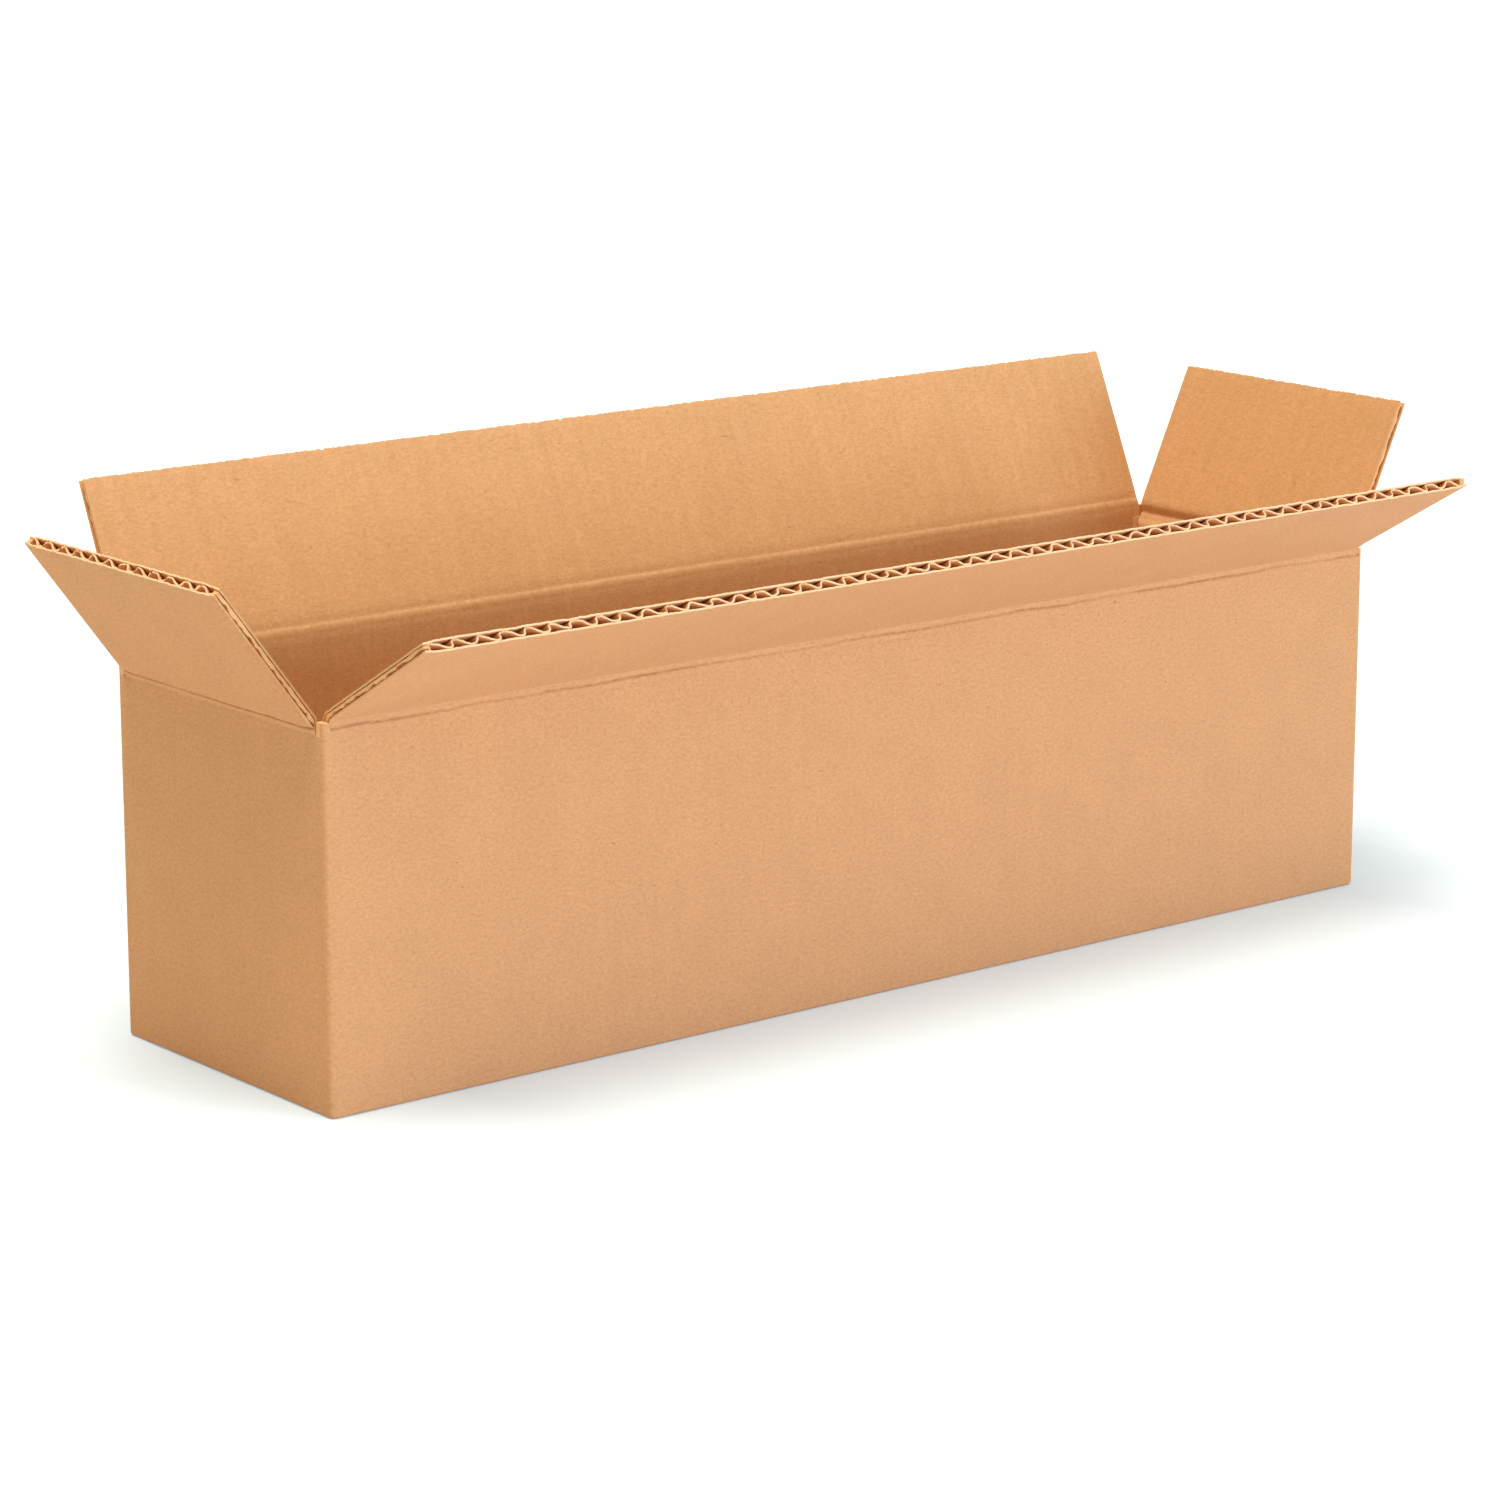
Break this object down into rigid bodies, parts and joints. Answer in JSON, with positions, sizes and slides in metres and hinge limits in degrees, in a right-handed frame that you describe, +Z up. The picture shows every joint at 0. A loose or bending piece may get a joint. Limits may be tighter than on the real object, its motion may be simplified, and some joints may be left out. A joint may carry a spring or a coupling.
{
  "type": "open cardboard box",
  "caption": "Long, low slotted shipping carton of corrugated board standing open, with a closed bottom and creased top flaps that fold in and out.",
  "frame": {"origin": "middle of the carton's bottom, on the ground", "axes": "+Z up out of the open top; +X along the long walls towards the right end wall; the front wall faces -Y"},
  "size_m": [0.4704, 0.1791, 0.1671],
  "materials": {
    "kraft_board": "matte uncoated kraft liner"
  },
  "bodies": {
    "carton": {"carton_body": "kraft_board"},
    "front_flap": {"front_flap": "kraft_board"},
    "back_flap": {"back_flap": "kraft_board"},
    "left_flap": {"left_flap": "kraft_board"},
    "right_flap": {"right_flap": "kraft_board"}
  },
  "joints": [
    {"name": "front_flap_crease", "type": "hinge", "parent": "carton", "child": "front_flap", "pos_m": [0, -0.0548, 0.1156], "axis": [1, 0, 0], "range_deg": [-150, 115]},
    {"name": "back_flap_crease", "type": "hinge", "parent": "carton", "child": "back_flap", "pos_m": [0, 0.0548, 0.1156], "axis": [-1, 0, 0], "range_deg": [-114, 151]},
    {"name": "left_flap_crease", "type": "hinge", "parent": "carton", "child": "left_flap", "pos_m": [-0.2072, 0, 0.1114], "axis": [0, -1, 0], "range_deg": [-127, 138]},
    {"name": "right_flap_crease", "type": "hinge", "parent": "carton", "child": "right_flap", "pos_m": [0.2072, 0, 0.1114], "axis": [0, 1, 0], "range_deg": [-115, 150]}
  ]
}
